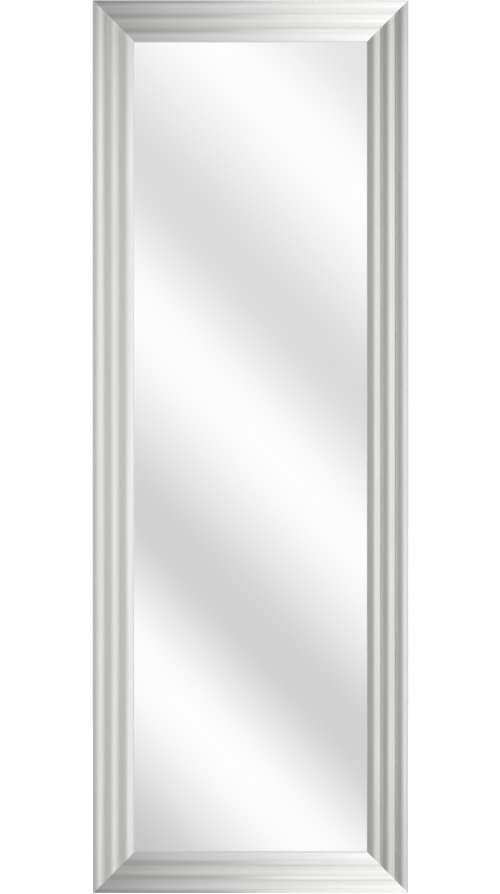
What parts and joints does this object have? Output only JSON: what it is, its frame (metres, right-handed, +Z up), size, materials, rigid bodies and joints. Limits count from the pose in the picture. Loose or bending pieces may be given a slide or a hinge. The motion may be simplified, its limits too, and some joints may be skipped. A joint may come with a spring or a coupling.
{
  "type": "wall mirror",
  "caption": "Tall framed wall mirror: plain glass in a mitred, reeded silver moulding, closed at the back, hung upright or on its side from swinging D-rings.",
  "frame": {"origin": "middle of the wall plane, on the faces of the four bumpers, at half the mirror's width and height", "axes": "+Z up as hung upright, -Y out of the wall towards the viewer (the glass faces -Y), +X to the viewer's right"},
  "size_m": [0.53, 0.034, 1.5],
  "materials": {
    "moulding": "fibreboard moulding wrapped on its face and outer side in brushed silver foil, bare fibreboard at the back",
    "mirror_glass": "float glass, silvered behind, edges ground, flat and unbevelled",
    "packing_foam": "white closed-cell packing foam",
    "hardboard": "brown hardboard, smooth side out",
    "spacer_plastic": "off-white plastic",
    "spring_steel": "rolled spring steel",
    "plated_screw": "bright zinc plate",
    "plated_steel": "bright zinc plate over pressed sheet",
    "ring_wire": "nickel-plated drawn wire",
    "bumper_rubber": "soft pale rubber"
  },
  "bodies": {
    "root": {"left_stile": "moulding", "right_stile": "moulding", "top_rail": "moulding", "bottom_rail": "moulding", "mirror_pane": "mirror_glass", "foam_sheet": "packing_foam", "backing_board": "hardboard", "edge_spacers": "spacer_plastic", "retaining_points": "spring_steel", "corner_wedges": "spring_steel", "hanger_screws": "plated_screw", "wall_bumpers": "bumper_rubber", "hanger_strap_left": "plated_steel", "hanger_strap_right": "plated_steel", "hanger_strap_side_upper": "plated_steel", "hanger_strap_side_lower": "plated_steel"},
    "ring_left": {"hanger_ring_left": "ring_wire"},
    "ring_right": {"hanger_ring_right": "ring_wire"},
    "ring_side_upper": {"hanger_ring_side_upper": "ring_wire"},
    "ring_side_lower": {"hanger_ring_side_lower": "ring_wire"}
  },
  "joints": [
    {"name": "ring_left_swing", "type": "hinge", "parent": "root", "child": "ring_left", "pos_m": [-0.234, -0.00367, 0.56], "axis": [-1, 0, 0], "range_deg": [0, 179]},
    {"name": "ring_right_swing", "type": "hinge", "parent": "root", "child": "ring_right", "pos_m": [0.234, -0.00367, 0.56], "axis": [-1, 0, 0], "range_deg": [0, 179]},
    {"name": "ring_side_upper_swing", "type": "hinge", "parent": "root", "child": "ring_side_upper", "pos_m": [-0.244, -0.00367, 0.4], "axis": [0, 0, -1], "range_deg": [0, 179]},
    {"name": "ring_side_lower_swing", "type": "hinge", "parent": "root", "child": "ring_side_lower", "pos_m": [-0.244, -0.00367, -0.4], "axis": [0, 0, -1], "range_deg": [0, 179]}
  ]
}
